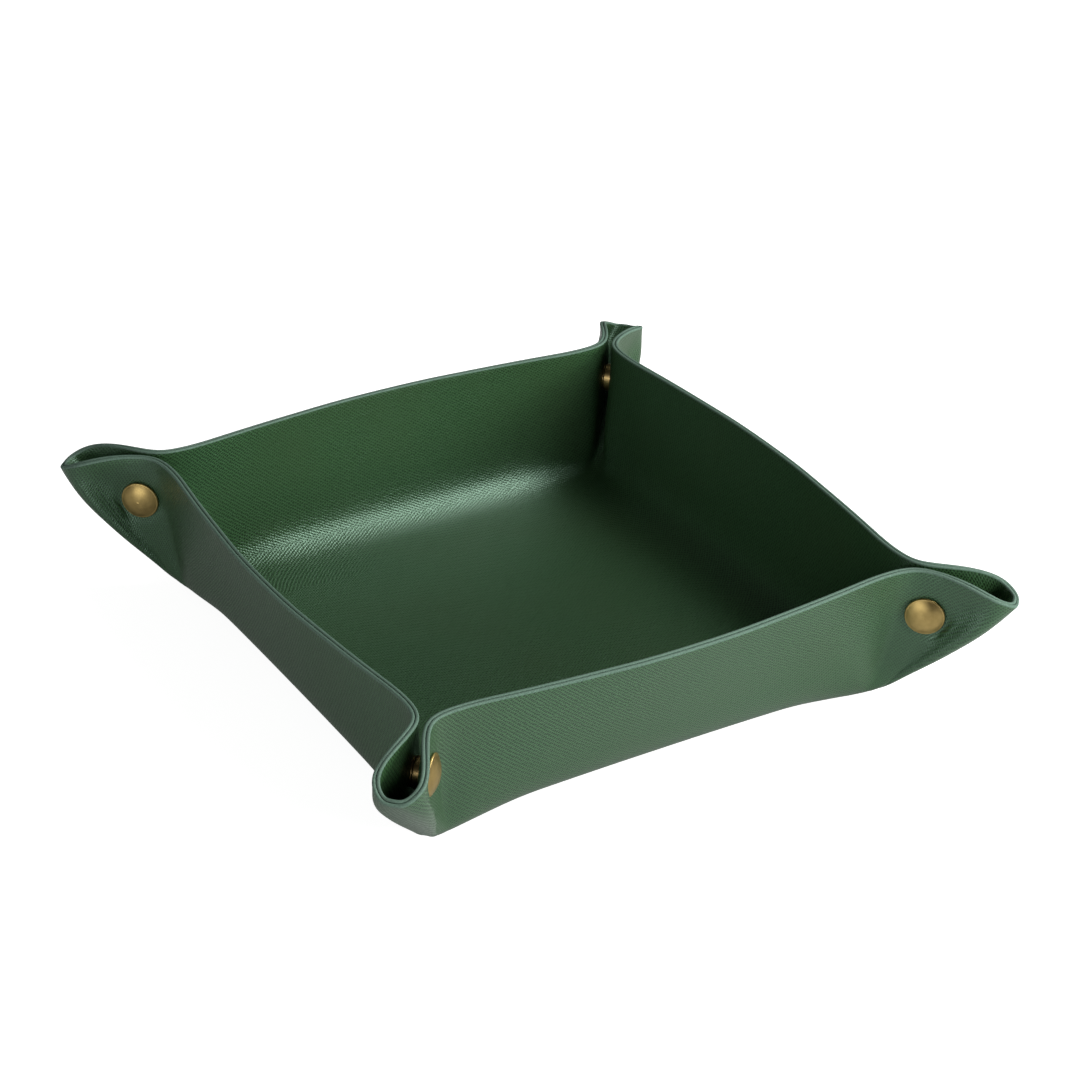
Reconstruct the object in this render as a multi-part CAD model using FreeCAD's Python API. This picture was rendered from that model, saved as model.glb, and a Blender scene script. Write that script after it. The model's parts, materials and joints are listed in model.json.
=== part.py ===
import FreeCAD, Part
import math
import os

# Valet tray: one square leather sheet of two bonded plies, its four corners
# pinched into ears that press studs hold. Millimetres, +Z up. The origin is the
# middle of the underside, and the walls stand across X and Y.

# Leather sheet
PLY = 1.1                # thickness of one ply
BOND = 0.05              # adhesive film between the plies

# Tray form, measured on the middle of the sheet's thickness
RIM_MID = 92.2           # centre to rim at the middle of a wall
WALL_HEIGHT = 47.0       # rim above the base, along the walls
WALL_LEAN = 11.2         # how far the rim overhangs the foot at the middle of a wall
BASE_BEND = 24.0         # edge of the flat base to the foot of the wall
RIM_BOW = 5.8            # how far the rim comes in from its middle to the wall's end
FOOT_BOW = 2.6           # how far the foot goes out from its middle towards the corner
CORNER_LENGTH = 20.6     # end of the wall, where its rim turns out, to the square corner
EAR_SET = 8.6            # end of the wall to the start of the ear, on the diagonal
EAR_LENGTH = 33.4        # start of the ear to its tip
EAR_DROP = 7.4           # how far the tip lies below the rim
FOLD_LEAN = 7.9          # how far the ear's start overhangs the foot of its fold
BEND_EASE = 0.6          # how far the bend between base and wall is rounded away
FOLD_BELLY = 0.8         # how far the fold swells out and down between its ends
LOOP_RIM = 7.0           # half width of the ear's loop at the rim

# Press studs
SNAP_INSET = 6.5         # start of the ear to the press stud's axis
SNAP_BELOW_RIM = 15.4    # rim to the press stud's axis
CAP_DIAMETER = 12.5
CAP_CROWN = 1.7          # height of the cap's dome above its rolled rim
CAP_RIM = 1.0            # height of the rolled rim
POST_DIAMETER = 3.4      # tubular posts of cap and eyelet
POST_BORE = 2.4
CAP_FLARE = 4.4          # clinched end of the cap's post
FLARE_HEIGHT = 0.4
SOCKET_DIAMETER = 9.6
SOCKET_HEIGHT = 2.75
SOCKET_BASE = 0.4        # thickness of the socket's floor
SOCKET_MOUTH = 5.9       # opening that the stud enters
SOCKET_LIP = 0.35        # thickness of the lip round the mouth
SPRING_WIRE = 0.6        # ring spring's wire
SPRING_BORE = 4.9        # ring spring's clear diameter
SPRING_SPLIT = 36.0      # degrees left open in the ring
STUD_FLANGE = 9.0
STUD_PLATE = 0.6         # thickness of the stud's flange
STUD_NECK = 4.6
STUD_HEAD = 5.4
STUD_HEIGHT = 1.85       # head above the flange
STUD_WELL = 0.7          # depth of the well in the head, for the eyelet's clinched end
EYELET_DIAMETER = 9.5
EYELET_FLARE = 3.9       # clinched end of the eyelet's post
EYELET_CROWN = 0.9       # height of the eyelet's rounded flange

# Clearances
POST_CLEAR = 0.1         # post in leather and in its plate, on the radius
CLOSE_CLEAR = 0.1        # socket's lip to the stud's flange when closed
SEAT_CLEAR = 0.15        # seat pressed into the leather round a flange, on the radius
SEAT_PRESS = 0.3         # how deep each flange is pressed into the leather
GROOVE_CLEAR = 0.1       # ring spring in its groove

# Shares that place the control stations of the rim and the walls
WALL_STATIONS = 7
EAR_REACH = (0.0, 0.22, 0.45, 0.65, 0.81, 0.92, 1.0, 1.0)
EAR_SWELL = (0.3, 0.27, 0.56, 0.87, 1.0, 0.77, 0.385, 0.0)
WALL_LEVELS = (0.0, 0.2, 0.42, 0.64, 0.84, 1.0)
LOOP_LEVELS = (0.343, 0.8, 1.029, 1.229)   # loop's half width at these levels, to the rim's
LOOP_SWELL = (0.65, 1.0, 0.7)
STATION_SPREAD = 0.3
BOW_POWER = 1.7
FOOT_END = 0.889
FOOT_GATHER = 0.6

# Worked out from the sizes above
SHEET = 2 * PLY + BOND
BASE_Z = SHEET / 2
LEAF_GAP = SOCKET_HEIGHT + CLOSE_CLEAR + STUD_PLATE
PRESSED = SHEET - 2 * SEAT_PRESS
LEAF = (LEAF_GAP + PRESSED) / 2
RIM_END = RIM_MID - CORNER_LENGTH
FOOT_MID = RIM_MID - WALL_LEAN
BASE_FLAT = FOOT_MID - BASE_BEND
EAR_START = (RIM_END + RIM_MID - RIM_BOW) / math.sqrt(2) + EAR_SET
EAR_FOOT = EAR_START - FOLD_LEAN
EAR_TIP = EAR_START + EAR_LENGTH
SNAP_REACH = EAR_START + SNAP_INSET
SNAP_Z = BASE_Z + WALL_HEIGHT - SNAP_BELOW_RIM
DEGREE = 3
WIRE_SIDES = 8           # flats round the ring spring's wire

# Corner name: quarter turns from the +X -Y corner, and the leaf that has the cap,
# -1 for the leaf met first going round from the middle of the wall before it
CORNERS = {
    "front_right": (0, -1),
    "back_right": (1, -1),
    "back_left": (2, 1),
    "front_left": (3, 1),
}


def wall_stations(mid, end, change, share_of):
    """Stations along half a wall as diagonal, across, in the plan."""
    row = []
    for i in range(WALL_STATIONS):
        share = i / (WALL_STATIONS - 1)
        share = share + STATION_SPREAD * share * (1 - share)
        along = end * share
        out = mid + change * share_of(share) if i > 1 else mid
        row.append(((along + out) / math.sqrt(2), (out - along) / math.sqrt(2)))
    return row


def rim_row():
    """Stations of the rim from the middle of a wall to the ear's tip."""
    wall = wall_stations(RIM_MID, RIM_END, -RIM_BOW, lambda share: share ** BOW_POWER)
    row = [(d, n, WALL_HEIGHT) for d, n in wall]
    for reach, swell in zip(EAR_REACH, EAR_SWELL):
        d = EAR_START + (EAR_TIP - EAR_START) * reach
        row.append((d, LOOP_RIM * swell, WALL_HEIGHT - EAR_DROP * reach ** 3))
    return row


def foot_row():
    """Stations of the wall's foot, gathered to the foot of the fold."""
    corner = EAR_FOOT / math.sqrt(2)
    end = FOOT_END * corner
    wall = wall_stations(FOOT_MID, end, FOOT_BOW * FOOT_END ** 2, lambda share: share ** 2)
    row = [(d, n, 0.0) for d, n in wall]
    last_out = (wall[-1][0] + wall[-1][1]) / math.sqrt(2)
    count = len(EAR_REACH)
    for k in range(1, count + 1):
        along = corner * (1 - (1 - FOOT_END) * FOOT_GATHER ** k) if k < count else corner
        out = last_out + (corner - last_out) * (k / count) ** 2
        row.append(((along + out) / math.sqrt(2), (out - along) / math.sqrt(2), 0.0))
    return row


def half_net():
    """Control rows of half a corner, from the flat base up to the rim."""
    rim = rim_row()
    foot = foot_row()
    inset = BASE_FLAT / FOOT_MID
    base = [(d * inset, n * inset, 0.0) for d, n, z in foot]
    shelf = [tuple((a + b) / 2 for a, b in zip(p, q)) for p, q in zip(base, foot)]
    rows = [base, shelf]
    for level in WALL_LEVELS:
        belly = FOLD_BELLY * 6.75 * level ** 2 * (1 - level)
        row = []
        for i, (low, high) in enumerate(zip(foot, rim)):
            d, n, z = (a + (b - a) * level for a, b in zip(low, high))
            swell = belly * min(max((i - WALL_STATIONS) / 5.0, 0.0), 1.0)
            row.append((d + swell, n, z - swell))
        rows.append(row)
    for row, loop in zip(rows[3:-1], LOOP_LEVELS):
        for i in range(WALL_STATIONS, WALL_STATIONS + 4):
            row[i] = (row[i][0], LEAF, row[i][2])
        for i, share in enumerate(LOOP_SWELL, WALL_STATIONS + 4):
            row[i] = (row[i][0], LOOP_RIM * loop * share, row[i][2])
    for i in range(WALL_STATIONS):
        ease = BEND_EASE * min(1.0, (WALL_STATIONS - i) / 3.0)
        chord = [(a + b) / 2 for a, b in zip(rows[1][i], rows[3][i])]
        rows[2][i] = tuple(p + (c - p) * ease for p, c in zip(rows[2][i], chord))
    return rows


def corner_point(d, n, z):
    """Point of the +X -Y corner from diagonal, across (+ to the right wall) and height."""
    return FreeCAD.Vector((d + n) / math.sqrt(2), (n - d) / math.sqrt(2), z)


def corner_net():
    """Control rows of a whole corner, from one wall's middle to the next one's."""
    rows = []
    for row in half_net():
        front = [corner_point(d, -n, z + BASE_Z) for d, n, z in row]
        right = [corner_point(d, n, z + BASE_Z) for d, n, z in reversed(row[:-1])]
        rows.append(front + right)
    return rows


def clamped(count):
    """Knots and multiplicities of a clamped cubic with evenly spaced knots."""
    spans = count - DEGREE
    knots = [i / spans for i in range(spans + 1)]
    mults = [DEGREE + 1] + [1] * (spans - 1) + [DEGREE + 1]
    return knots, mults


def net_surface(rows):
    """Bicubic surface over control rows, u along the wall and v up it."""
    u_knots, u_mults = clamped(len(rows[0]))
    v_knots, v_mults = clamped(len(rows))
    poles = [[row[i] for row in rows] for i in range(len(rows[0]))]
    surface = Part.BSplineSurface()
    surface.buildFromPolesMultsKnots(
        poles, u_mults, v_mults, u_knots, v_knots, False, False, DEGREE, DEGREE)
    return surface


def greville(count):
    """Parameter that each control point of a clamped cubic stands for."""
    knots, mults = clamped(count)
    flat = [k for k, m in zip(knots, mults) for _ in range(m)]
    return [sum(flat[i + 1:i + 1 + DEGREE]) / DEGREE for i in range(count)]


def offset_net(rows, surface, distance):
    """The control rows moved along the sheet's normal, inwards where positive."""
    u_at = greville(len(rows[0]))
    v_at = greville(len(rows))
    u_at[1], u_at[-2] = u_at[0], u_at[-1]
    moved = []
    for j, row in enumerate(rows):
        new = []
        for i, pole in enumerate(row):
            if j < 2:
                normal = FreeCAD.Vector(0, 0, 1)
            else:
                normal = surface.normal(u_at[i], v_at[j]) * -1
            new.append(pole + normal * distance)
        moved.append(new)
    return moved


def ply_solid(net, middle, low, high):
    """One ply between two distances from the middle of the sheet."""
    skins = [net_surface(offset_net(net, middle, h)) for h in (low, high)]
    faces = []
    base_edges = [[], []]
    for turn in range(4):
        rims = []
        for side, skin in enumerate(skins):
            face = skin.toShape()
            face.rotate(FreeCAD.Vector(), FreeCAD.Vector(0, 0, 1), 90 * turn)
            faces.append(face)
            for v, found in ((0.0, base_edges[side]), (1.0, rims)):
                edge = skin.vIso(v).toShape()
                edge.rotate(FreeCAD.Vector(), FreeCAD.Vector(0, 0, 1), 90 * turn)
                found.append(edge)
        faces.append(Part.makeRuledSurface(rims[0], rims[1]))
    for edges in base_edges:
        faces.append(Part.Face(Part.Wire(edges)))
    shell = Part.makeShell(faces)
    shell.sewShape()
    solid = Part.makeSolid(shell)
    if solid.Volume < 0:
        solid.reverse()
    return solid


def profile_solid(points):
    """Turned piece from a closed half profile of (radius, along) points and arcs."""
    edges = []
    here = points[0]
    for item in points[1:] + [points[0]]:
        if len(item) == 4:
            middle, end = item[:2], item[2:]
            arc = Part.Arc(axis_point(here), axis_point(middle), axis_point(end))
            edges.append(arc.toShape())
            here = end
        else:
            edges.append(Part.makeLine(axis_point(here), axis_point(item)))
            here = item
    face = Part.Face(Part.Wire(edges))
    return face.revolve(FreeCAD.Vector(), FreeCAD.Vector(0, 0, 1), 360)


def axis_point(pair):
    return FreeCAD.Vector(pair[0], 0, pair[1])


def snap_pieces():
    """Press stud on the Z axis, cap below, with its middle plane at zero."""
    cap_seat = -LEAF_GAP / 2 - PRESSED
    socket_seat = -LEAF_GAP / 2
    stud_seat = LEAF_GAP / 2
    eyelet_seat = LEAF_GAP / 2 + PRESSED
    post = POST_DIAMETER / 2
    bore = POST_BORE / 2
    flare = CAP_FLARE / 2

    cap_r = CAP_DIAMETER / 2
    rim_low = cap_seat - CAP_RIM
    crown = rim_low - CAP_CROWN
    dome_r = cap_r - CAP_RIM / 2
    sag_r = (dome_r ** 2 + CAP_CROWN ** 2) / (2 * CAP_CROWN)
    half_r = dome_r / 2
    half_z = crown + sag_r - math.sqrt(sag_r ** 2 - half_r ** 2)
    floor = socket_seat + SOCKET_BASE
    cap = profile_solid([
        (0, crown),
        (half_r, half_z, dome_r, rim_low),
        (cap_r, cap_seat - CAP_RIM / 2, dome_r, cap_seat),
        (post, cap_seat),
        (post, floor),
        (flare, floor),
        (flare, floor + FLARE_HEIGHT),
        (bore, floor + FLARE_HEIGHT),
        (bore, cap_seat - CAP_RIM / 2),
        (0, cap_seat - CAP_RIM / 2),
    ])

    socket_r = SOCKET_DIAMETER / 2
    mouth = SOCKET_MOUTH / 2
    top = socket_seat + SOCKET_HEIGHT
    ring_z = top - SOCKET_LIP - GROOVE_CLEAR / 2 - SPRING_WIRE / 2
    shelf = ring_z - SPRING_WIRE / 2 - GROOVE_CLEAR / 2
    groove = STUD_HEAD / 2 + SPRING_WIRE + GROOVE_CLEAR
    hole = post + POST_CLEAR
    turn = SOCKET_LIP * (1 - math.sqrt(0.5))
    socket = profile_solid([
        (hole, socket_seat),
        (socket_r, socket_seat),
        (socket_r, top - SOCKET_LIP),
        (socket_r - turn, top - turn, socket_r - SOCKET_LIP, top),
        (mouth, top),
        (mouth, top - SOCKET_LIP),
        (groove, top - SOCKET_LIP),
        (groove, shelf),
        (mouth, shelf),
        (mouth, floor),
        (hole, floor),
    ])

    ring_r = SPRING_BORE / 2 + SPRING_WIRE / 2
    corners = [2 * math.pi * (k + 0.5) / WIRE_SIDES for k in range(WIRE_SIDES + 1)]
    wire = [(ring_r + SPRING_WIRE / 2 * math.cos(a), ring_z + SPRING_WIRE / 2 * math.sin(a)) for a in corners]
    section = Part.Face(Part.makePolygon([axis_point(pair) for pair in wire]))
    spring = section.revolve(
        FreeCAD.Vector(), FreeCAD.Vector(0, 0, 1), 360 - SPRING_SPLIT)

    plate = stud_seat - STUD_PLATE
    head_end = plate - STUD_HEIGHT
    well_top = head_end + STUD_WELL
    neck = STUD_NECK / 2
    head = STUD_HEAD / 2
    swell = head - neck
    turn = swell * (1 - math.sqrt(0.5))
    eye_flare = EYELET_FLARE / 2
    well = eye_flare + POST_CLEAR
    stud = profile_solid([
        (hole, stud_seat),
        (STUD_FLANGE / 2, stud_seat),
        (STUD_FLANGE / 2, plate),
        (neck, plate),
        (neck, shelf),
        (head, shelf - swell / 2),
        (head, head_end + swell),
        (head - turn, head_end + turn, neck, head_end),
        (well, head_end),
        (well, well_top),
        (hole, well_top),
    ])

    eye_r = EYELET_DIAMETER / 2
    eye_top = eyelet_seat + EYELET_CROWN
    turn = EYELET_CROWN * (1 - math.sqrt(0.5))
    eyelet = profile_solid([
        (bore, eye_top),
        (eye_r - EYELET_CROWN, eye_top),
        (eye_r - turn, eye_top - turn, eye_r, eyelet_seat),
        (post, eyelet_seat),
        (post, well_top),
        (eye_flare, well_top),
        (eye_flare, well_top - FLARE_HEIGHT),
        (bore, well_top - FLARE_HEIGHT),
    ])
    return {"cap": cap, "socket": socket, "ring_spring": spring, "stud": stud, "eyelet": eyelet}


def snap_place(turn, side):
    """Placement of a press stud at its corner, cap on the given leaf."""
    across = FreeCAD.Vector(1, 1, 0) * (-side / math.sqrt(2))
    up = FreeCAD.Vector(0, 0, 1)
    along = up.cross(across)
    frame = FreeCAD.Rotation(along, up, across, "ZXY")
    here = FreeCAD.Placement(corner_point(SNAP_REACH, 0, SNAP_Z), frame)
    spin = FreeCAD.Rotation(up, 90 * turn)
    return FreeCAD.Placement(FreeCAD.Vector(), spin).multiply(here)


def leather_cuts():
    """Post hole and pressed seats of one press stud, on the Z axis."""
    hole = POST_DIAMETER / 2 + POST_CLEAR
    reach = LEAF_GAP / 2 + PRESSED
    tools = [Part.makeCylinder(hole, 2 * reach + 2 * SHEET, FreeCAD.Vector(0, 0, -reach - SHEET))]
    inner = max(SOCKET_DIAMETER, STUD_FLANGE) / 2 + SEAT_CLEAR
    tools.append(Part.makeCylinder(inner, LEAF_GAP, FreeCAD.Vector(0, 0, -LEAF_GAP / 2)))
    cap_seat = CAP_DIAMETER / 2 + SEAT_CLEAR
    tools.append(Part.makeCylinder(cap_seat, SHEET, FreeCAD.Vector(0, 0, -reach - SHEET)))
    eye_seat = EYELET_DIAMETER / 2 + SEAT_CLEAR
    tools.append(Part.makeCylinder(eye_seat, SHEET, FreeCAD.Vector(0, 0, reach)))
    return tools


def placed(shape, place):
    copy = shape.copy()
    copy.Placement = place.multiply(copy.Placement)
    return copy


def main():
    os.makedirs("parts", exist_ok=True)
    net = corner_net()
    middle = net_surface(net)
    plies = {
        "outer_ply": ply_solid(net, middle, -SHEET / 2, -BOND / 2),
        "inner_ply": ply_solid(net, middle, BOND / 2, SHEET / 2),
    }
    cuts = []
    pieces = snap_pieces()
    for corner, (turn, side) in CORNERS.items():
        place = snap_place(turn, side)
        cuts += [placed(tool, place) for tool in leather_cuts()]
        for name, shape in pieces.items():
            placed(shape, place).exportStep("parts/%s_%s.step" % (name, corner))
    for name, ply in plies.items():
        ply.cut(cuts).exportStep("parts/%s.step" % name)


main()
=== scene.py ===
import json
import math

import bmesh
import bpy
import numpy as np
from mathutils import Matrix, Vector

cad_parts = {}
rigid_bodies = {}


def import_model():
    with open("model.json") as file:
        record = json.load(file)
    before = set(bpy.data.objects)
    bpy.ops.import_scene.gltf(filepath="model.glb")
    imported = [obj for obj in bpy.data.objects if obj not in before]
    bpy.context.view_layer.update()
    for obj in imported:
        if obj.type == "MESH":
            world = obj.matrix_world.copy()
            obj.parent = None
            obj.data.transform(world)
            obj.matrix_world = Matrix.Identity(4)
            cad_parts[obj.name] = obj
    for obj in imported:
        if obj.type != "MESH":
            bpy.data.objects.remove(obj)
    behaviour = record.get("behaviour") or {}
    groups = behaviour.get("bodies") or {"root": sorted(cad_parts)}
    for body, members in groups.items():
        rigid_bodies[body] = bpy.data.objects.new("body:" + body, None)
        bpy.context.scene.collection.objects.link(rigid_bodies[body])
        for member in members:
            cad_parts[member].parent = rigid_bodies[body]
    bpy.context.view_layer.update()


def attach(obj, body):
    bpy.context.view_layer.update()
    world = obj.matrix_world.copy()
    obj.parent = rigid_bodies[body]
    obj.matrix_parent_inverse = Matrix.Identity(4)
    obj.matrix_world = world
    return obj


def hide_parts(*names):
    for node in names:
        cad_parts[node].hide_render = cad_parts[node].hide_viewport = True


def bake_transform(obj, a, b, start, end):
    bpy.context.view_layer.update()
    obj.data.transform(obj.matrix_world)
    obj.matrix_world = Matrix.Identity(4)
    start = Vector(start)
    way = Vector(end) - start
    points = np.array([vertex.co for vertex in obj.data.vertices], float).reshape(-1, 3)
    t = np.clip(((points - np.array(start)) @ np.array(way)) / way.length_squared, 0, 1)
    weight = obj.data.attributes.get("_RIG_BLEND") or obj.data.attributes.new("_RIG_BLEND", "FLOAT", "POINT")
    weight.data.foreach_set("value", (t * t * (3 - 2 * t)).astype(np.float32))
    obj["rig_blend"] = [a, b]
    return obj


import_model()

# Sizes in millimetres, as the tray is made
MM = 0.001
PLY = 1.1
BOND = 0.05
SHEET = 2 * PLY + BOND
BASE_Z = SHEET / 2
FLAT_SIDE = 250.0
FLAT_CORNER = 15.0

RIM_MID = 92.2
WALL_HEIGHT = 47.0
WALL_LEAN = 11.2
BASE_BEND = 24.0
RIM_BOW = 5.8
FOOT_BOW = 2.6
CORNER_LENGTH = 20.6
EAR_SET = 8.6
EAR_LENGTH = 33.4
EAR_DROP = 7.4
FOLD_LEAN = 7.9
BEND_EASE = 0.6
FOLD_BELLY = 0.8
LOOP_RIM = 7.0
RIM_END = RIM_MID - CORNER_LENGTH
FOOT_MID = RIM_MID - WALL_LEAN
BASE_FLAT = FOOT_MID - BASE_BEND
EAR_START = (RIM_END + RIM_MID - RIM_BOW) / math.sqrt(2) + EAR_SET
EAR_FOOT = EAR_START - FOLD_LEAN
EAR_TIP = EAR_START + EAR_LENGTH

SNAP_REACH = EAR_START + 6.5
SNAP_Z = BASE_Z + WALL_HEIGHT - 15.4
LEAF_GAP = 3.45
LEAF = 2.55
SEAT_PRESS = 0.32
CAP_SEAT = 6.4
SOCKET_SEAT = 4.95
STUD_SEAT = 4.95
EYELET_SEAT = 4.9
SEAT_EASE = 2.4
POST_HOLE = 3.2

# Shares that place the control stations of the rim and the walls
WALL_STATIONS = 7
EAR_REACH = (0.0, 0.22, 0.45, 0.65, 0.81, 0.92, 1.0, 1.0)
EAR_SWELL = (0.3, 0.27, 0.56, 0.87, 1.0, 0.77, 0.385, 0.0)
WALL_LEVELS = (0.0, 0.2, 0.42, 0.64, 0.84, 1.0)
LOOP_LEVELS = (0.343, 0.8, 1.029, 1.229)
LOOP_SWELL = (0.65, 1.0, 0.7)
STATION_SPREAD = 0.3
BOW_POWER = 1.7
FOOT_END = 0.889
FOOT_GATHER = 0.6
DEGREE = 3

# How finely the sheet is divided, and how its cut edges are rounded
ALONG_CORNER = 176
BASE_ROWS = 12
WALL_ROWS = 46
WALL_RUN = 59.5
CORNER_RUN = 250.0
EDGE_ROUND = 0.28

# Where the leather gives when a press stud is pulled open: distances across the
# fold towards the cap, and heights
STUD_SIDE = -1.0
CAP_SIDE = 1.6
PINCH = 5.2
WALL_END = 56.0
FOLD_PARTING = 22.0
FOOT_LINE = 4.0
FOLD_RISE = (PINCH - STUD_SIDE) / (CAP_SIDE - STUD_SIDE) / (FOLD_PARTING - FOOT_LINE)
WALL_PARTING = FOOT_LINE + 1 / FOLD_RISE
WALL_FALL = 1 / (WALL_END - PINCH)

# Corner name: quarter turns from the +X -Y corner, and the side of the fold with the cap
CORNERS = {
    "front_right": (0, -1),
    "back_right": (1, -1),
    "back_left": (2, 1),
    "front_left": (3, 1),
}
REGIONS = ("fold_upper", "fold_lower", "wall_upper", "wall_lower")


# Form of the sheet

def wall_stations(mid, end, change, power):
    """Stations along half a wall as diagonal and across, in the plan."""
    share = np.arange(WALL_STATIONS) / (WALL_STATIONS - 1)
    share = share + STATION_SPREAD * share * (1 - share)
    along = end * share
    out = mid + change * share ** power
    out[:2] = mid
    return (along + out) / math.sqrt(2), (out - along) / math.sqrt(2)


def rim_row():
    """Stations of the rim from the middle of a wall to the ear's tip."""
    d, n = wall_stations(RIM_MID, RIM_END, -RIM_BOW, BOW_POWER)
    reach = np.array(EAR_REACH)
    ear_d = EAR_START + (EAR_TIP - EAR_START) * reach
    ear_n = LOOP_RIM * np.array(EAR_SWELL)
    ear_z = WALL_HEIGHT - EAR_DROP * reach ** 3
    wall = np.stack([d, n, np.full(WALL_STATIONS, WALL_HEIGHT)], axis=1)
    return np.concatenate([wall, np.stack([ear_d, ear_n, ear_z], axis=1)])


def foot_row():
    """Stations of the wall's foot, gathered to the foot of the fold."""
    corner = EAR_FOOT / math.sqrt(2)
    d, n = wall_stations(FOOT_MID, FOOT_END * corner, FOOT_BOW * FOOT_END ** 2, 2)
    last_out = (d[-1] + n[-1]) / math.sqrt(2)
    count = len(EAR_REACH)
    k = np.arange(1, count + 1)
    along = corner * (1 - (1 - FOOT_END) * FOOT_GATHER ** k)
    along[-1] = corner
    out = last_out + (corner - last_out) * (k / count) ** 2
    d = np.concatenate([d, (along + out) / math.sqrt(2)])
    n = np.concatenate([n, (out - along) / math.sqrt(2)])
    return np.stack([d, n, np.zeros(len(d))], axis=1)


def half_net():
    """Control rows of half a corner, from the flat base up to the rim."""
    rim = rim_row()
    foot = foot_row()
    base = foot * (BASE_FLAT / FOOT_MID)
    rows = [base, (base + foot) / 2]
    gather = np.clip((np.arange(len(rim)) - WALL_STATIONS) / 5.0, 0, 1)
    for level in WALL_LEVELS:
        row = foot + (rim - foot) * level
        belly = FOLD_BELLY * 6.75 * level ** 2 * (1 - level) * gather
        row[:, 0] += belly
        row[:, 2] -= belly
        rows.append(row)
    for row, loop in zip(rows[3:-1], LOOP_LEVELS):
        row[WALL_STATIONS:WALL_STATIONS + 4, 1] = LEAF
        row[WALL_STATIONS + 4:-1, 1] = LOOP_RIM * loop * np.array(LOOP_SWELL)
    ease = BEND_EASE * np.clip((WALL_STATIONS - np.arange(len(rim))) / 3, 0, 1)
    rows[2] = rows[2] + ((rows[1] + rows[3]) / 2 - rows[2]) * ease[:, None]
    return np.array(rows)


def corner_net():
    """Control rows of the +X -Y corner, from one wall's middle to the next one's."""
    half = half_net()
    both = np.concatenate([half * (1, -1, 1), half[:, -2::-1]], axis=1)
    d, n, z = np.moveaxis(both, -1, 0)
    return np.stack([(d + n) / math.sqrt(2), (n - d) / math.sqrt(2), z + BASE_Z], axis=-1)


def spline_shares(count, at):
    """Share of each control station in points along a clamped cubic."""
    spans = count - DEGREE
    knots = np.concatenate([np.zeros(DEGREE), np.linspace(0, 1, spans + 1), np.ones(DEGREE)])
    at = np.clip(at, 0, 1 - 1e-9)[:, None]
    shares = ((knots[:-1] <= at) & (at < knots[1:])).astype(float)
    for degree in range(1, DEGREE + 1):
        width = knots[degree:] - knots[:-degree]
        rise = (at - knots[:-degree]) / np.where(width > 0, width, 1)
        shares = shares[:, :-1] * rise[:, :-1] + shares[:, 1:] * (1 - rise[:, 1:])
    return shares


NET = corner_net()


def on_sheet(u, v):
    """Points of the middle of the sheet at the +X -Y corner."""
    across = spline_shares(NET.shape[1], u)
    up = spline_shares(NET.shape[0], v)
    return np.einsum("pi,pj,jik->pk", across, up, NET)


def sheet_normals(u, v):
    """Normals of the middle of the sheet, towards the inside of the tray."""
    step = 1e-4
    low_u, high_u = np.clip(u - step, 0, 1), np.clip(u + step, 0, 1)
    low_v, high_v = np.clip(v - step, 0, 1), np.clip(v + step, 0, 1)
    along = on_sheet(high_u, v) - on_sheet(low_u, v)
    up = on_sheet(u, high_v) - on_sheet(u, low_v)
    normal = np.cross(up, along)
    return normal / np.linalg.norm(normal, axis=1, keepdims=True)


def smooth_step(share):
    share = np.clip(share, 0, 1)
    return share * share * (3 - 2 * share)


def flat_place(u, v):
    """Where a point of the corner lies on the sheet before folding."""
    fine = np.linspace(0, 1, 1201)
    rim = on_sheet(fine, np.ones_like(fine))
    run = np.concatenate([[0], np.cumsum(np.linalg.norm(np.diff(rim, axis=0), axis=1))])
    side = FLAT_SIDE / 2
    straight = side - FLAT_CORNER
    border = 2 * straight + FLAT_CORNER * math.pi / 2
    run = np.interp(u, fine, run / run[-1]) * border
    angle = np.clip((run - straight) / FLAT_CORNER, 0, math.pi / 2)
    x = np.minimum(run, straight) + FLAT_CORNER * np.sin(angle)
    y = -side + FLAT_CORNER * (1 - np.cos(angle)) + np.maximum(run - border + straight, 0)
    edge = np.stack([x, y], axis=1)
    column = on_sheet(np.zeros_like(fine), fine)
    rise = np.concatenate([[0], np.cumsum(np.linalg.norm(np.diff(column, axis=0), axis=1))])
    share = np.interp(v, fine, rise / rise[-1])[:, None]
    foot = on_sheet(u, np.zeros_like(u))[:, :2]
    return foot + (edge - foot) * share


# Leather pieces

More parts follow.
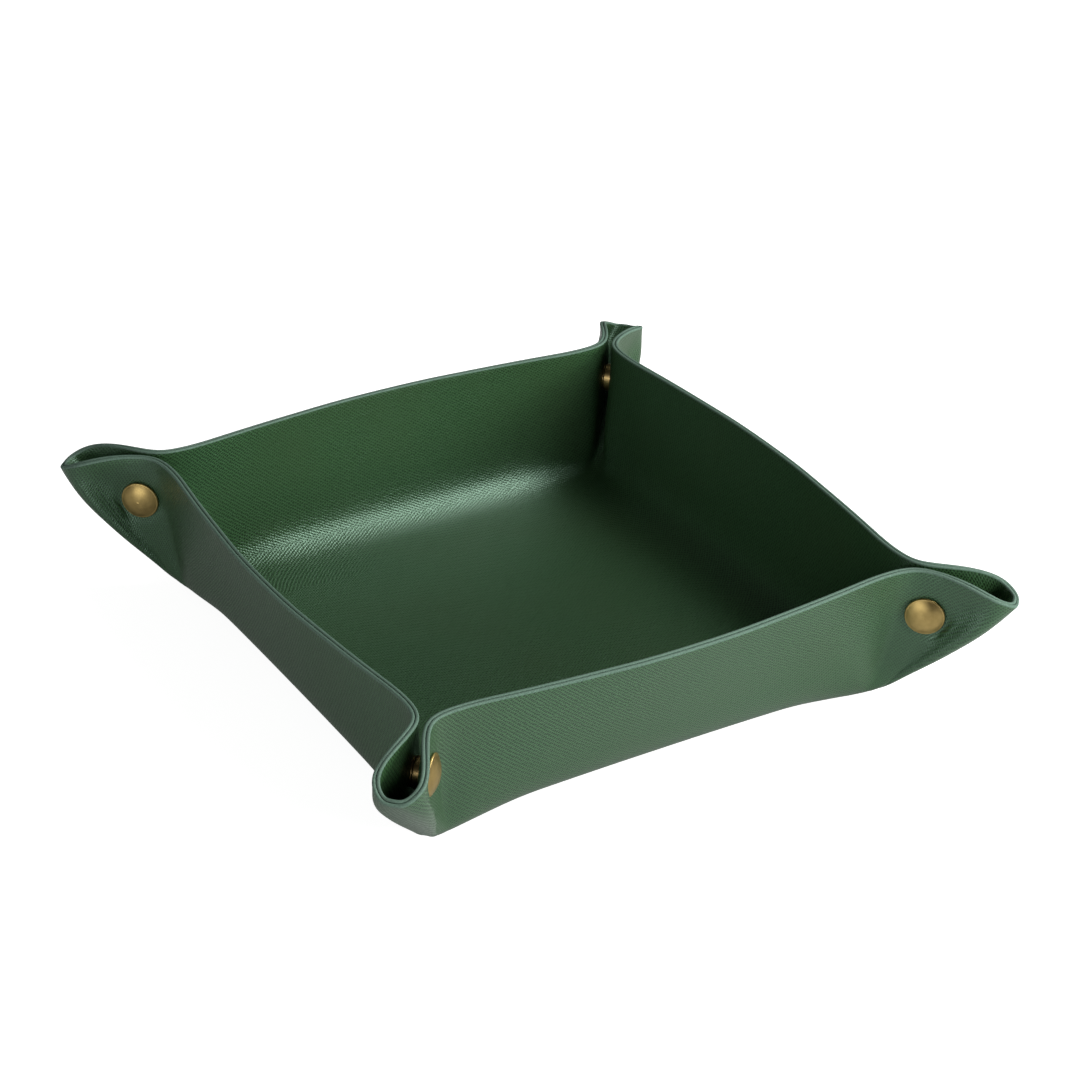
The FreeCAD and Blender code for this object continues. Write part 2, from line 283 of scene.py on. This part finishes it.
def flat_ply(low, high):
    """One ply of a quarter of the sheet laid flat: x along the corner, y from the
    middle of the tray to the rim, with its rim edges rounded."""
    bm = bmesh.new()
    rows = BASE_ROWS + WALL_ROWS
    bmesh.ops.create_grid(bm, x_segments=ALONG_CORNER, y_segments=rows, size=0.5)
    for vert in bm.verts:
        row = (vert.co.y + 0.5) * rows
        base = min(row / BASE_ROWS, 1) * BASE_FLAT
        wall = max((row - BASE_ROWS) / WALL_ROWS, 0) * WALL_RUN
        vert.co = ((vert.co.x + 0.5) * CORNER_RUN, base + wall, low)
    grown = bmesh.ops.extrude_face_region(bm, geom=bm.faces[:])
    raised = [item for item in grown["geom"] if isinstance(item, bmesh.types.BMVert)]
    bmesh.ops.translate(bm, verts=raised, vec=(0, 0, high - low))
    bmesh.ops.recalc_face_normals(bm, faces=bm.faces)
    rim = BASE_FLAT + WALL_RUN
    sides = []
    for face in bm.faces:
        middle = face.calc_center_median()
        if abs(face.normal.z) < 0.5 and middle.y < rim - 0.01:
            sides.append(face)
    bmesh.ops.delete(bm, geom=sides, context="FACES")
    edges = [e for e in bm.edges if all(v.co.y > rim - 0.01 for v in e.verts)]
    edges = [e for e in edges if abs(e.verts[0].co.z - e.verts[1].co.z) < 0.01]
    bmesh.ops.bevel(bm, geom=edges, offset=EDGE_ROUND, offset_type="OFFSET", segments=2,
                    profile=0.5, affect="EDGES", material=-1, clamp_overlap=True)
    bm.normal_update()
    for face in bm.faces:
        face.material_index = 1 if abs(face.normal.z) < 0.99 else 0
    return bm


def pressed(points, side):
    """The leaves of a fold squeezed where the press stud's flanges sit."""
    d = (points[:, 0] - points[:, 1]) / math.sqrt(2)
    n = (points[:, 0] + points[:, 1]) / math.sqrt(2)
    radius = np.hypot(d - SNAP_REACH, points[:, 2] - SNAP_Z)
    depth = np.abs(n)
    outside = np.clip((depth - LEAF) / SHEET + 0.5, 0, 1)
    on_cap = n * side > 0
    outer = np.where(on_cap, CAP_SEAT, EYELET_SEAT)
    inner = np.where(on_cap, SOCKET_SEAT, STUD_SEAT)
    seat = inner + (outer - inner) * outside
    press = 1 - smooth_step((radius - seat) / SEAT_EASE)
    seated = np.clip(depth, LEAF - SHEET / 2 + SEAT_PRESS, LEAF + SHEET / 2 - SEAT_PRESS)
    moved = np.where(depth < LEAF + SHEET, (seated - depth) * press, 0) * np.sign(n)
    return points + moved[:, None] * np.array([1, 1, 0]) / math.sqrt(2)


def turned(points, turn):
    """Points turned about the tray's middle by quarter turns."""
    return points @ np.array(Matrix.Rotation(math.radians(90 * turn), 3, "Z")).T


def folded_ply(low, high):
    """One ply of the whole sheet, folded to the tray's form."""
    slab = flat_ply(low, high)
    slab.verts.ensure_lookup_table()
    laid = np.array([v.co for v in slab.verts])
    u = laid[:, 0] / CORNER_RUN
    v = np.clip((laid[:, 1] - BASE_FLAT) / WALL_RUN, 0, 1)
    inward = np.minimum(laid[:, 1:2] / BASE_FLAT, 1)
    middle = on_sheet(u, v)
    middle[:, :2] *= inward
    formed = middle + sheet_normals(u, v) * laid[:, 2:3]
    lain = np.concatenate([flat_place(u, v) * inward, laid[:, 2:3]], axis=1)
    quarter = bpy.data.meshes.new("quarter")
    slab.to_mesh(quarter)
    slab.free()
    bm = bmesh.new()
    flat = bm.verts.layers.float_vector.new("flat")
    off_tip = bm.verts.layers.float.new("off_tip")
    for turn, side in CORNERS.values():
        start = len(bm.verts)
        bm.from_mesh(quarter)
        bm.verts.ensure_lookup_table()
        places = turned(pressed(formed, side), turn) * MM
        flats = turned(lain, turn)
        for i in range(len(places)):
            bm.verts[start + i].co = places[i]
            bm.verts[start + i][flat] = flats[i]
            bm.verts[start + i][off_tip] = abs(u[i] - 0.5)
    bpy.data.meshes.remove(quarter)
    bmesh.ops.remove_doubles(bm, verts=bm.verts, dist=0.002 * MM)
    bmesh.ops.recalc_face_normals(bm, faces=bm.faces)
    return bm


def corner_axes(corner):
    """Outward diagonal of a corner, and the direction across its fold to the cap."""
    turn, side = CORNERS[corner]
    spin = Matrix.Rotation(math.radians(90 * turn), 3, "Z")
    out = spin @ Vector((1, -1, 0)).normalized()
    across = spin @ Vector((1, 1, 0)).normalized() * side
    return out, across


def fold_measure(point, axes):
    """Distance out along the diagonal, across to the cap, and height, in millimetres."""
    return point.dot(axes[0]) / MM, point.dot(axes[1]) / MM, point.z / MM


def open_post_holes(bm):
    """Holes through both leaves of each fold for the press stud's posts."""
    for corner in CORNERS:
        axes = corner_axes(corner)
        leaves = {1: [], -1: []}
        for face in bm.faces:
            d, n, z = fold_measure(face.calc_center_median(), axes)
            if math.hypot(d - SNAP_REACH, z - SNAP_Z) < POST_HOLE and abs(n) < LEAF + SHEET:
                leaves[1 if n > 0 else -1].append(face)
        for faces in leaves.values():
            border = [e for f in faces for e in f.edges]
            border = [e for e in border if sum(g in faces for g in e.link_faces) == 1]
            bmesh.ops.delete(bm, geom=faces, context="FACES")
            bmesh.ops.bridge_loops(bm, edges=list({e for e in border if e.is_valid}))


def cut_by(bm, faces, place, direction):
    geom = {item for face in faces for item in (face, *face.edges, *face.verts)}
    bmesh.ops.bisect_plane(bm, geom=list(geom), dist=1e-7, plane_co=place, plane_no=direction)


def on_wall_side(z, off_tip):
    """Whether a place lies on the wall's side of the leaf, by its share of the way from the tip."""
    low = min(max((z - FOOT_LINE) / 6, 0), 1)
    return off_tip > 0.14 + 0.06 * low


def part_regions(bm):
    """Cuts each fold where its leather gives, and numbers the regions."""
    mark = bm.faces.layers.int.new("region")
    off_tip = bm.verts.layers.float["off_tip"]
    up = Vector((0, 0, 1))
    for number, corner in enumerate(CORNERS):
        axes = corner_axes(corner)

        def measured(face):
            share = sum(v[off_tip] for v in face.verts) / len(face.verts)
            return *fold_measure(face.calc_center_median(), axes), share

        def to_pinch(d, n, z, share):
            return abs(n - PINCH) < 4 and 90 < d and z > 2 and on_wall_side(z, share)

        def to_tip(d, n, z, share):
            return abs(n - STUD_SIDE) < 4 and d > 90 and z > 2

        def to_foot(d, n, z, share):
            return d > 40 and -4 < n < d + 1 and z < 9

        def to_fold(d, n, z, share):
            return d > 90 and -4 < n < 14 and abs(z - FOLD_PARTING) < 5

        def to_wall(d, n, z, share):
            return d > 40 and 2 < n < d + 1 and abs(z - WALL_PARTING) < 5

        cuts = (
            (to_pinch, axes[1], PINCH),
            (to_tip, axes[1], STUD_SIDE),
            (to_foot, up, FOOT_LINE),
            (to_fold, up, FOLD_PARTING),
            (to_wall, up, WALL_PARTING),
        )
        for test, direction, reach in cuts:
            faces = [f for f in bm.faces if test(*measured(f))]
            cut_by(bm, faces, direction * reach * MM, direction)
        for face in bm.faces:
            d, n, z, share = measured(face)
            if d < 40 or n > d or n < STUD_SIDE or z < FOOT_LINE:
                continue
            if n > PINCH and on_wall_side(z, share):
                region = 2 if z > WALL_PARTING else 3
            else:
                region = 0 if z > FOLD_PARTING else 1
            face[mark] = 1 + 4 * number + region


def edge_chains(edges):
    """Edges sorted into connected runs."""
    left = set(edges)
    chains = []
    while left:
        chain = [left.pop()]
        for edge in chain:
            joined = {e for v in edge.verts for e in v.link_edges} & left
            left -= joined
            chain.extend(joined)
        chains.append(chain)
    return chains


def chain_middle(chain):
    return sum((v.co for e in chain for v in e.verts), Vector()) / (2 * len(chain))


def chain_path(chain):
    """Vertices of a run of edges in order, from one end to the other."""
    left = set(chain)
    ends = [v for e in chain for v in e.verts if sum(f in left for f in v.link_edges) == 1]
    path = [ends[0] if ends else chain[0].verts[0]]
    while left:
        step = next((e for e in path[-1].link_edges if e in left), None)
        if step is None:
            break
        left.discard(step)
        path.append(step.other_vert(path[-1]))
    return path


def zip_paths(bm, one, other):
    """Closes the strip between two paths that run side by side."""
    if (one[0].co - other[0].co).length > (one[0].co - other[-1].co).length:
        other.reverse()
    i = j = 0
    while i < len(one) - 1 or j < len(other) - 1:
        ahead = j == len(other) - 1 or i / (len(one) - 1) <= j / (len(other) - 1)
        if ahead and i < len(one) - 1:
            bm.faces.new((one[i], one[i + 1], other[j]))
            i += 1
        else:
            bm.faces.new((one[i], other[j + 1], other[j]))
            j += 1


def cut_planes():
    """Planes along which regions part, as direction and distance."""
    planes = [(Vector((0, 0, 1)), level) for level in (FOOT_LINE, FOLD_PARTING, WALL_PARTING)]
    for corner in CORNERS:
        across = corner_axes(corner)[1]
        planes += [(across, PINCH), (across, STUD_SIDE)]
    return planes + [(Vector((1, 0, 0)), 0.0), (Vector((0, 1, 0)), 0.0)]


def close_cuts(bm, flat, low, high):
    """Joins the two faces of a ply along each cut of a region."""
    left = {e for e in bm.edges if e.is_boundary}
    for direction, reach in cut_planes():
        skins = {low: [], high: []}
        for edge in left:
            if any(abs(v.co.dot(direction) / MM - reach) > 0.002 for v in edge.verts):
                continue
            for depth, found in skins.items():
                if all(abs(v[flat].z - depth) < 0.01 for v in edge.verts):
                    found.append(edge)
        left -= set(skins[low] + skins[high])
        insides = edge_chains(skins[high])
        for chain in edge_chains(skins[low]) if insides else ():
            middle = chain_middle(chain)
            facing = min(insides, key=lambda other: (chain_middle(other) - middle).length)
            zip_paths(bm, chain_path(chain), chain_path(facing))
    bmesh.ops.holes_fill(bm, edges=[e for e in bm.edges if e.is_boundary], sides=0)
    bmesh.ops.recalc_face_normals(bm, faces=bm.faces)


def leather_piece(whole, number, name, low, high, materials):
    """One region of a ply as a piece of its own, shaded as part of the whole."""
    bm = whole.copy()
    mark = bm.faces.layers.int["region"]
    bmesh.ops.delete(bm, geom=[f for f in bm.faces if f[mark] != number], context="FACES")
    flat = bm.verts.layers.float_vector["flat"]
    lie = bm.verts.layers.float_vector["lie"]
    close_cuts(bm, flat, low, high)
    layout = bm.loops.layers.uv.new("flat_sheet")
    for face in bm.faces:
        face.smooth = True
        for loop in face.loops:
            place = loop.vert[flat]
            loop[layout].uv = (place.x / FLAT_SIDE + 0.5, place.y / FLAT_SIDE + 0.5)
    normals = [tuple(v[lie]) for v in bm.verts]
    mesh = bpy.data.meshes.new(name)
    bm.to_mesh(mesh)
    bm.free()
    mesh.normals_split_custom_set_from_vertices(normals)
    for material in materials:
        mesh.materials.append(material)
    piece = bpy.data.objects.new(name, mesh)
    bpy.context.scene.collection.objects.link(piece)
    return piece


# Finishes

def add_node(tree, kind, inputs=None, **settings):
    """A node with its settings and its input values or links."""
    node = tree.nodes.new(kind)
    for name, value in settings.items():
        setattr(node, name, value)
    for name, value in (inputs or {}).items():
        if isinstance(value, bpy.types.NodeSocket):
            tree.links.new(value, node.inputs[name])
        else:
            node.inputs[name].default_value = value
    return node


def new_group(name, inputs, outputs):
    """Empty node group with named sockets, its two end nodes and its tree."""
    tree = bpy.data.node_groups.new(name, "ShaderNodeTree")
    for title, kind in inputs.items():
        tree.interface.new_socket(title, in_out="INPUT", socket_type="NodeSocket" + kind)
    for title, kind in outputs.items():
        tree.interface.new_socket(title, in_out="OUTPUT", socket_type="NodeSocket" + kind)
    return tree, tree.nodes.new("NodeGroupInput"), tree.nodes.new("NodeGroupOutput")


def maths(tree, operation, *values):
    return add_node(tree, "ShaderNodeMath", dict(enumerate(values)), operation=operation).outputs[0]


def hatched_grain():
    """Pressed cross-hatch of fine ridges, with the places where they break."""
    tree, given, out = new_group(
        "hatched_grain", {"Place": "Vector", "Pitch": "Float"}, {"Height": "Float", "Shade": "Float"})
    place, pitch = given.outputs["Place"], given.outputs["Pitch"]
    drift = add_node(tree, "ShaderNodeTexNoise", {"Vector": place, "Scale": 0.55, "Detail": 2.0})
    ridges = []
    for lean in (37.0, -37.0):
        turn = add_node(tree, "ShaderNodeVectorRotate", {"Vector": place, "Angle": math.radians(lean)},
                        rotation_type="Z_AXIS")
        across = add_node(tree, "ShaderNodeSeparateXYZ", {"Vector": turn.outputs[0]}).outputs["Y"]
        across = maths(tree, "MULTIPLY_ADD", drift.outputs[0], 0.9, across)
        wave = maths(tree, "SINE", maths(tree, "DIVIDE", maths(tree, "MULTIPLY", across, 2 * math.pi), pitch))
        ridges.append(maths(tree, "MULTIPLY_ADD", wave, 0.5, 0.5))
    height = maths(tree, "MAXIMUM", *ridges)
    breaks = add_node(tree, "ShaderNodeTexNoise", {"Vector": place, "Scale": 1.3, "Detail": 3.0})
    height = maths(tree, "MULTIPLY", height, maths(tree, "MULTIPLY_ADD", breaks.outputs[0], 0.9, 0.45))
    tree.links.new(height, out.inputs["Height"])
    cloud = add_node(tree, "ShaderNodeTexNoise", {"Vector": place, "Scale": 0.03, "Detail": 3.0})
    tree.links.new(cloud.outputs[0], out.inputs["Shade"])
    return tree


def new_material(name):
    material = bpy.data.materials.new(name)
    material.use_nodes = True
    return material, material.node_tree, material.node_tree.nodes["Principled BSDF"]


def mixed(tree, share, low, high):
    node = add_node(tree, "ShaderNodeMix", data_type="RGBA")
    sockets = {s.identifier: s for s in node.inputs}
    for key, value in (("Factor_Float", share), ("A_Color", low), ("B_Color", high)):
        if isinstance(value, bpy.types.NodeSocket):
            tree.links.new(value, sockets[key])
        else:
            sockets[key].default_value = value
    return next(s for s in node.outputs if s.identifier == "Result_Color")


def flat_millimetres(tree):
    layout = add_node(tree, "ShaderNodeUVMap", uv_map="flat_sheet")
    scaled = add_node(tree, "ShaderNodeVectorMath", {0: layout.outputs[0], 1: (FLAT_SIDE,) * 3},
                      operation="MULTIPLY")
    return scaled.outputs[0]


def green_leather(name, grain, dark, light, warm):
    """Satin finished leather pressed with the hatched grain."""
    material, tree, shader = new_material(name)
    press = add_node(tree, "ShaderNodeGroup", node_tree=grain)
    tree.links.new(flat_millimetres(tree), press.inputs["Place"])
    press.inputs["Pitch"].default_value = 0.9
    height, cloud = press.outputs["Height"], press.outputs["Shade"]
    tone = maths(tree, "MULTIPLY_ADD", cloud, 0.3, maths(tree, "MULTIPLY_ADD", height, 1.8, -0.75))
    green = mixed(tree, tone, dark, light)
    warmth = maths(tree, "MULTIPLY", maths(tree, "POWER", cloud, 2.0), 0.7)
    tree.links.new(mixed(tree, warmth, green, warm), shader.inputs["Base Color"])
    rough = maths(tree, "MULTIPLY_ADD", height, -0.1, 0.41)
    tree.links.new(rough, shader.inputs["Roughness"])
    bump = add_node(tree, "ShaderNodeBump", {"Height": height, "Strength": 0.9, "Distance": 0.0001})
    tree.links.new(bump.outputs[0], shader.inputs["Normal"])
    shader.inputs["Specular IOR Level"].default_value = 1.0
    shader.inputs["Specular Tint"].default_value = (0.65, 1.0, 0.78, 1)
    return material


def cut_edge_painted_highlight():
    """Cut edge of a ply: its own paler, fibrous colour, partly lightened as a painted highlight along the
    rim.
    """
    material, tree, shader = new_material("cut_edge_painted_highlight")
    place = add_node(tree, "ShaderNodeAttribute", attribute_name="flat").outputs["Vector"]
    fibre = add_node(tree, "ShaderNodeTexNoise", {"Vector": place, "Scale": 2.2, "Detail": 4.0})
    # The pale tone is partly the raw edge's own colour and partly a painted highlight along the rim top
    tree.links.new(mixed(tree, fibre.outputs[0], (0.018, 0.040, 0.027, 1), (0.12, 0.20, 0.15, 1)),
                   shader.inputs["Base Color"])
    shader.inputs["Roughness"].default_value = 0.7
    return material


def worn_metal(name, dark, light, roughness, scale):
    """Metal with a cloudy patina."""
    material, tree, shader = new_material(name)
    place = add_node(tree, "ShaderNodeTexCoord").outputs["Object"]
    cloud = add_node(tree, "ShaderNodeTexNoise", {"Vector": place, "Scale": scale, "Detail": 5.0})
    tree.links.new(mixed(tree, cloud.outputs[0], dark, light), shader.inputs["Base Color"])
    rough = maths(tree, "MULTIPLY_ADD", cloud.outputs[0], 0.2, roughness)
    tree.links.new(rough, shader.inputs["Roughness"])
    shader.inputs["Metallic"].default_value = 1.0
    return material


DARK_GREEN = (0.003, 0.010, 0.0033, 1)
GREEN = (0.030, 0.078, 0.030, 1)
BROWN_GREEN = (0.018, 0.027, 0.0095, 1)
grain = hatched_grain()
outer_leather = green_leather("outer_leather_green", grain, DARK_GREEN, GREEN, BROWN_GREEN)
inner_leather = green_leather("inner_leather_green", grain, DARK_GREEN, GREEN, BROWN_GREEN)
# Edge colour that carries a painted highlight along the rim
edge_with_painted_highlight = cut_edge_painted_highlight()
cap_finish = worn_metal("antique_brass", (0.28, 0.20, 0.07, 1), (0.58, 0.43, 0.17, 1), 0.34, 420.0)
fitting_finish = worn_metal("plain_brass", (0.25, 0.17, 0.07, 1), (0.44, 0.32, 0.14, 1), 0.28, 260.0)
spring_finish = worn_metal("spring_steel", (0.30, 0.30, 0.30, 1), (0.5, 0.5, 0.5, 1), 0.25, 400.0)

# The leather sheet in its two plies
PLIES = {
    "outer": ("outer_ply", -SHEET / 2, -BOND / 2, outer_leather),
    "inner": ("inner_ply", BOND / 2, SHEET / 2, inner_leather),
}


def give_way(piece, corner, region):
    """Lets a piece follow the cap from where the leather starts to give."""
    across = corner_axes(corner)[1]
    up = Vector((0, 0, 1))
    if region == "fold_upper":
        start = across * STUD_SIDE
        slope = across / (CAP_SIDE - STUD_SIDE)
    elif region == "fold_lower":
        start = across * STUD_SIDE + up * FOLD_PARTING
        slope = across / (CAP_SIDE - STUD_SIDE) + up * FOLD_RISE
    elif region == "wall_upper":
        start = across * WALL_END
        slope = -across * WALL_FALL
    else:
        start = across * PINCH + up * FOOT_LINE
        slope = -across * WALL_FALL + up * FOLD_RISE
    end = start + slope / slope.length_squared
    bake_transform(piece, "tray", "snap_" + corner, start=tuple(start * MM), end=tuple(end * MM))


def flat_area(mesh):
    """Area of a piece on the flat sheet, in square metres."""
    layout = mesh.uv_layers["flat_sheet"].data
    total = 0.0
    for face in mesh.polygons:
        points = [layout[i].uv for i in face.loop_indices]
        ring = zip(points, points[1:] + points[:1])
        total += abs(sum(a.x * b.y - b.x * a.y for a, b in ring)) / 2
    return total / 2 * (FLAT_SIDE * MM) ** 2


for ply, (node, low, high, leather) in PLIES.items():
    whole = folded_ply(low, high)
    open_post_holes(whole)
    part_regions(whole)
    whole.normal_update()
    lie = whole.verts.layers.float_vector.new("lie")
    for vert in whole.verts:
        vert[lie] = vert.normal
    base = leather_piece(whole, 0, ply + "_leather", low, high, (leather, edge_with_painted_highlight))
    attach(base, "tray")
    made = [(base, None, None)]
    for number, corner in enumerate(CORNERS):
        for region, title in enumerate(REGIONS):
            name = "_".join((ply, "leather", title, corner))
            piece = leather_piece(whole, 1 + 4 * number + region, name, low, high, (leather, edge_with_painted_highlight))
            give_way(piece, corner, title)
            made.append((piece, corner, title))
    whole.free()
    for piece, corner, title in made:
        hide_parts(node)
        if corner is None:
            flat_area(piece.data)
        else:
            area = flat_area(piece.data)

# Press studs keep their turned shapes and take the metal finishes
for corner in CORNERS:
    for kind, finish in (("cap", cap_finish), ("socket", fitting_finish), ("stud", fitting_finish),
                         ("eyelet", fitting_finish), ("ring_spring", spring_finish)):
        for item in bpy.data.objects[kind + "_" + corner].material_slots:
            item.material = finish

# Floor
bm = bmesh.new()
bmesh.ops.create_circle(bm, cap_ends=True, segments=96, radius=4.0)
floor_mesh = bpy.data.meshes.new("floor")
bm.to_mesh(floor_mesh)
bm.free()
floor = bpy.data.objects.new("floor", floor_mesh)
bpy.context.scene.collection.objects.link(floor)
material, tree, shader = new_material("white_floor")
shader.inputs["Base Color"].default_value = (0.45, 0.45, 0.45, 1)
shader.inputs["Roughness"].default_value = 0.9
shader.inputs["Specular IOR Level"].default_value = 0.1
rays = add_node(tree, "ShaderNodeLightPath").outputs
glow = maths(tree, "MULTIPLY", rays["Is Camera Ray"], 0.9)
glow = maths(tree, "MULTIPLY_ADD", rays["Is Glossy Ray"], 0.1, glow)
glow = maths(tree, "MULTIPLY_ADD", rays["Is Diffuse Ray"], 0.36, glow)
tree.links.new(glow, shader.inputs["Emission Strength"])
shader.inputs["Emission Color"].default_value = (1, 1, 1, 1)
floor_mesh.materials.append(material)

# Studio light
world = bpy.data.worlds.new("studio")
bpy.context.scene.world = world
world.use_nodes = True
tree = world.node_tree
background = tree.nodes["Background"]
background.inputs["Color"].default_value = (1, 1, 1, 1)
rays = add_node(tree, "ShaderNodeLightPath").outputs
seen = maths(tree, "MAXIMUM", rays["Is Camera Ray"], rays["Is Transmission Ray"])
dome = maths(tree, "MULTIPLY_ADD", seen, 0.84, 0.16)
dome = maths(tree, "MULTIPLY_ADD", rays["Is Glossy Ray"], -0.13, dome)
tree.links.new(dome, background.inputs["Strength"])


def softbox(name, place, aim, size, power, mirrored=True):
    lamp = bpy.data.lights.new(name, "AREA")
    lamp.shape = "RECTANGLE"
    lamp.size, lamp.size_y = size
    lamp.energy = power
    holder = bpy.data.objects.new(name, lamp)
    bpy.context.scene.collection.objects.link(holder)
    holder.visible_glossy = mirrored
    holder.location = place
    holder.rotation_euler = (Vector(aim) - Vector(place)).to_track_quat("-Z", "Y").to_euler()


softbox("key_light", (0.66, -0.30, 0.88), (0, 0, 0.02), (1.0, 0.5), 14.5)
softbox("front_light", (0.75, -1.12, 0.34), (0, 0, 0.03), (0.7, 0.35), 27.0, mirrored=False)
softbox("left_light", (-1.1, -0.55, 0.35), (0, 0, 0.03), (0.8, 0.5), 5.0)

# Camera at the photograph's place
CAMERA_PLACE = (-0.41529, -0.64895, 0.48307)
CAMERA_TURN = -32.955
CAMERA_DOWN = 30.077
CAMERA_ROLL = 2.244
LENS = 94.27
lens = bpy.data.cameras.new("camera")
lens.sensor_width = 36.0
lens.lens = LENS
lens.clip_start = 0.01
camera = bpy.data.objects.new("camera", lens)
bpy.context.scene.collection.objects.link(camera)
camera.matrix_world = (
    Matrix.Translation(CAMERA_PLACE)
    @ Matrix.Rotation(math.radians(CAMERA_TURN), 4, "Z")
    @ Matrix.Rotation(math.radians(90 - CAMERA_DOWN), 4, "X")
    @ Matrix.Rotation(math.radians(CAMERA_ROLL), 4, "Z")
)
bpy.context.scene.camera = camera
bpy.context.scene.view_settings.view_transform = "Standard"
